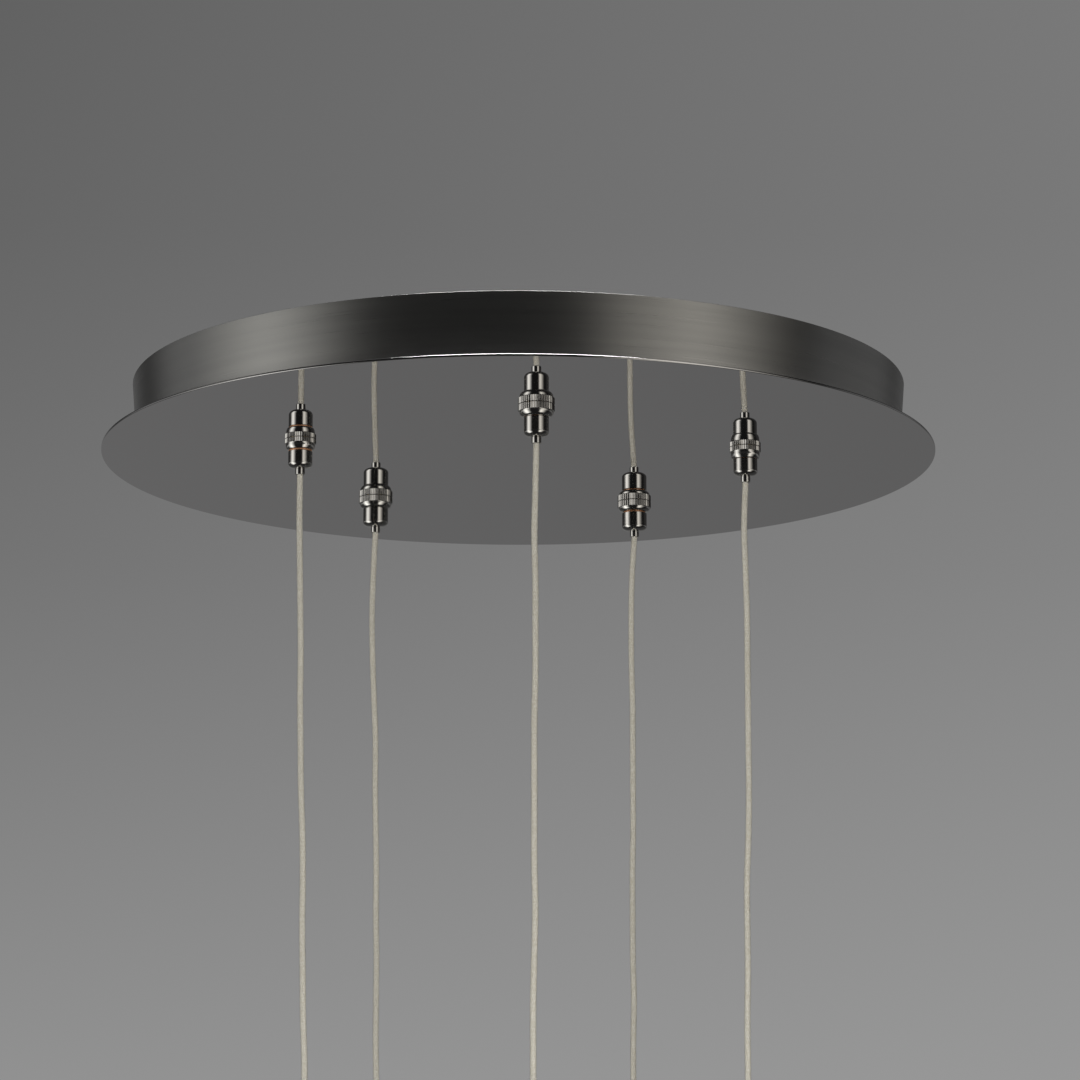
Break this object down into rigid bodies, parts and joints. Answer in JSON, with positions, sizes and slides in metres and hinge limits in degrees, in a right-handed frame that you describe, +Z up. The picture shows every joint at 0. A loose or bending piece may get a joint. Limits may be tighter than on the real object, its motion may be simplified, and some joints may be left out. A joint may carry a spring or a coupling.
{
  "type": "pendant light",
  "caption": "Round multi-light ceiling pendant: a brushed pan over a larger polished plate, with plug-in cords on knurled locking rings and small lamp heads.",
  "frame": {"origin": "centre of the canopy's rim, in the plane of the ceiling", "axes": "+Z up into the ceiling, +X right and -Y towards the front, where the first socket stands"},
  "size_m": [0.4449, 0.445, 0.4651],
  "materials": {
    "brushed_band": "circumferential brushing, dark nickel",
    "polished_plate": "mirror polish",
    "zinc_plated": "zinc plated",
    "earth_green": "green dyed",
    "white_plastic": "fine satin",
    "foam": "matte foam",
    "board_green": "solder mask",
    "socket_brass": "plated",
    "nylon": "natural",
    "fibre": "pressed fibre",
    "lead_jacket": "smooth jacket",
    "fitting_chrome": "polished",
    "copper": "satin copper",
    "cord_jacket": "clear jacket over a tinned braid",
    "lamp_metal": "polished dark nickel",
    "aluminium": "turned",
    "frosted": "frosted"
  },
  "bodies": {
    "canopy": {"canopy_pan": "brushed_band", "mirror_plate": "polished_plate", "ceiling_strap": "zinc_plated", "side_screws": "zinc_plated", "earth_screw": "earth_green", "driver_case": "white_plastic", "foam_pads": "foam", "distribution_board": "board_green", "edge_terminals": "white_plastic", "jack_sockets": "socket_brass", "socket_liners": "nylon", "socket_contacts": "socket_brass", "socket_nuts": "zinc_plated", "fibre_washers": "fibre", "output_leads": "lead_jacket"},
    "plug_1": {"plug_barrel_1": "fitting_chrome", "plug_pin_1": "socket_brass", "copper_washer_1": "copper", "cord_ferrule_1": "fitting_chrome"},
    "ring_1": {"locking_ring_1": "fitting_chrome"},
    "pendant_1": {"cord_1": "cord_jacket", "lamp_cap_1": "lamp_metal", "led_module_1": "aluminium", "diffuser_1": "frosted"},
    "plug_2": {"plug_barrel_2": "fitting_chrome", "plug_pin_2": "socket_brass", "copper_washer_2": "copper", "cord_ferrule_2": "fitting_chrome"},
    "ring_2": {"locking_ring_2": "fitting_chrome"},
    "pendant_2": {"cord_2": "cord_jacket", "lamp_cap_2": "lamp_metal", "led_module_2": "aluminium", "diffuser_2": "frosted"},
    "plug_3": {"plug_barrel_3": "fitting_chrome", "plug_pin_3": "socket_brass", "copper_washer_3": "copper", "cord_ferrule_3": "fitting_chrome"},
    "ring_3": {"locking_ring_3": "fitting_chrome"},
    "pendant_3": {"cord_3": "cord_jacket", "lamp_cap_3": "lamp_metal", "led_module_3": "aluminium", "diffuser_3": "frosted"},
    "plug_4": {"plug_barrel_4": "fitting_chrome", "plug_pin_4": "socket_brass", "copper_washer_4": "copper", "cord_ferrule_4": "fitting_chrome"},
    "ring_4": {"locking_ring_4": "fitting_chrome"},
    "pendant_4": {"cord_4": "cord_jacket", "lamp_cap_4": "lamp_metal", "led_module_4": "aluminium", "diffuser_4": "frosted"},
    "plug_5": {"plug_barrel_5": "fitting_chrome", "plug_pin_5": "socket_brass", "copper_washer_5": "copper", "cord_ferrule_5": "fitting_chrome"},
    "ring_5": {"locking_ring_5": "fitting_chrome"},
    "pendant_5": {"cord_5": "cord_jacket", "lamp_cap_5": "lamp_metal", "led_module_5": "aluminium", "diffuser_5": "frosted"}
  },
  "joints": [
    {"name": "plug_draw_1", "type": "slide", "parent": "canopy", "child": "plug_1", "axis": [0, 0, -1], "range_m": [0, 0.00225]},
    {"name": "ring_turn_1", "type": "hinge", "parent": "plug_1", "child": "ring_1", "pos_m": [0.00904, -0.12317, -0.041], "axis": [0, 0, -1], "range_deg": [0, 1081]},
    {"name": "pendant_swing_1", "type": "hinge", "parent": "plug_1", "child": "pendant_1", "pos_m": [0.00904, -0.12317, -0.05715], "axis": [0.9973, 0.0732, 0], "range_deg": [-8, 8]},
    {"name": "plug_draw_2", "type": "slide", "parent": "canopy", "child": "plug_2", "axis": [0, 0, -1], "range_m": [0, 0.00225]},
    {"name": "ring_turn_2", "type": "hinge", "parent": "plug_2", "child": "ring_2", "pos_m": [0.11993, -0.02946, -0.041], "axis": [0, 0, -1], "range_deg": [0, 1081]},
    {"name": "pendant_swing_2", "type": "hinge", "parent": "plug_2", "child": "pendant_2", "pos_m": [0.11993, -0.02946, -0.05605], "axis": [0.2385, 0.9711, 0], "range_deg": [-8, 8]},
    {"name": "plug_draw_3", "type": "slide", "parent": "canopy", "child": "plug_3", "axis": [0, 0, -1], "range_m": [0, 0.00225]},
    {"name": "ring_turn_3", "type": "hinge", "parent": "plug_3", "child": "ring_3", "pos_m": [0.06508, 0.10496, -0.041], "axis": [0, 0, -1], "range_deg": [0, 1081]},
    {"name": "pendant_swing_3", "type": "hinge", "parent": "plug_3", "child": "pendant_3", "pos_m": [0.06508, 0.10496, -0.05715], "axis": [-0.8499, 0.527, 0], "range_deg": [-8, 8]},
    {"name": "plug_draw_4", "type": "slide", "parent": "canopy", "child": "plug_4", "axis": [0, 0, -1], "range_m": [0, 0.00225]},
    {"name": "ring_turn_4", "type": "hinge", "parent": "plug_4", "child": "ring_4", "pos_m": [-0.07971, 0.09433, -0.041], "axis": [0, 0, -1], "range_deg": [0, 1081]},
    {"name": "pendant_swing_4", "type": "hinge", "parent": "plug_4", "child": "pendant_4", "pos_m": [-0.07971, 0.09433, -0.05715], "axis": [-0.7638, -0.6455, 0], "range_deg": [-8, 8]},
    {"name": "plug_draw_5", "type": "slide", "parent": "canopy", "child": "plug_5", "axis": [0, 0, -1], "range_m": [0, 0.00225]},
    {"name": "ring_turn_5", "type": "hinge", "parent": "plug_5", "child": "ring_5", "pos_m": [-0.11435, -0.04666, -0.041], "axis": [0, 0, -1], "range_deg": [0, 1081]},
    {"name": "pendant_swing_5", "type": "hinge", "parent": "plug_5", "child": "pendant_5", "pos_m": [-0.11435, -0.04666, -0.05605], "axis": [0.3778, -0.9259, 0], "range_deg": [-8, 8]}
  ],
  "couplings": [
    {"joint": "ring_turn_1", "follows": "plug_draw_1", "rad_per_m": 8377.6},
    {"joint": "ring_turn_2", "follows": "plug_draw_2", "rad_per_m": 8377.6},
    {"joint": "ring_turn_3", "follows": "plug_draw_3", "rad_per_m": 8377.6},
    {"joint": "ring_turn_4", "follows": "plug_draw_4", "rad_per_m": 8377.6},
    {"joint": "ring_turn_5", "follows": "plug_draw_5", "rad_per_m": 8377.6}
  ]
}
